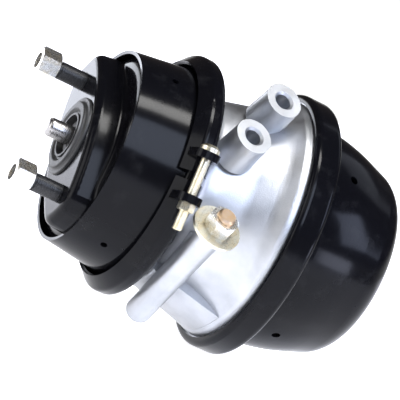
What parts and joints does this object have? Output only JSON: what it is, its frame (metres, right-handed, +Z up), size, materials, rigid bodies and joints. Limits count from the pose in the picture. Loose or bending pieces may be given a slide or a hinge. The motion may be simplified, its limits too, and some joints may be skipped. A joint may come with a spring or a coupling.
{
  "type": "air brake chamber",
  "caption": "Spring brake chamber for a disc brake caliper: a stud-mounted service chamber with a short push rod, a cast adapter with ports and a stowed release bolt, and a deep spring housing.",
  "frame": {"origin": "centre of the mounting face, where the chamber's axis meets it", "axes": "+X along the chamber's axis from the mounting face to the spring end, so the studs and push rod point to -X; +Z up as the chamber hangs in the picture's upright view, +Y away from the side with the ports and the release bolt"},
  "size_m": [0.3396, 0.2676, 0.2418],
  "materials": {
    "gloss_black": "gloss",
    "cast_aluminium": "satin",
    "zinc": "satin",
    "black_steel": "satin",
    "rod_steel": "satin",
    "boot_rubber": "matte",
    "diaphragm_rubber": "matte",
    "spring_steel": "satin",
    "bush_plastic": "matte",
    "plug_plastic": "matte"
  },
  "bodies": {
    "chamber": {"service_housing": "gloss_black", "stud_plate": "black_steel", "mounting_studs": "black_steel", "stud_nuts": "zinc", "rod_boot": "boot_rubber", "service_diaphragm": "diaphragm_rubber", "service_spring": "spring_steel", "service_clamp_upper": "gloss_black", "service_clamp_lower": "gloss_black", "clamp_bolts": "zinc", "clamp_washers": "zinc", "clamp_nuts": "zinc", "adapter_body": "cast_aluminium", "centre_bush": "bush_plastic", "rod_seals": "diaphragm_rubber", "hub_washers": "rod_steel", "bush_retainer": "black_steel", "return_spring": "spring_steel", "spring_diaphragm": "diaphragm_rubber", "power_spring": "spring_steel", "spring_clamp_ring": "gloss_black", "spring_housing": "gloss_black"},
    "actuator": {"actuator_rod": "rod_steel", "actuator_plate": "cast_aluminium", "pressure_plate": "cast_aluminium"},
    "push_rod_assembly": {"push_rod": "rod_steel", "push_plate": "rod_steel"},
    "release_tool": {"release_bolt": "zinc", "release_washer": "zinc", "release_nut": "zinc"},
    "plug": {"dust_plug": "plug_plastic"}
  },
  "joints": [
    {"name": "actuator_slide", "type": "slide", "parent": "chamber", "child": "actuator", "axis": [-1, 0, 0], "range_m": [0, 0.057], "stiffness_N_per_m": 1500, "deforming": ["return_spring", "power_spring", "spring_diaphragm"]},
    {"name": "push_rod_slide", "type": "slide", "parent": "chamber", "child": "push_rod_assembly", "axis": [-1, 0, 0], "range_m": [0, 0.057], "deforming": ["service_spring", "service_diaphragm", "rod_boot"]},
    {"name": "release_bolt_slide", "type": "slide", "parent": "chamber", "child": "release_tool", "axis": [0, -0.6293, 0.7771], "range_m": [0, 0.14]},
    {"name": "plug_pull", "type": "slide", "parent": "chamber", "child": "plug", "axis": [1, 0, 0], "range_m": [0, 0.03]}
  ],
  "couplings": [
    {"joint": "push_rod_slide", "follows": "actuator_slide", "ratio": 1}
  ]
}
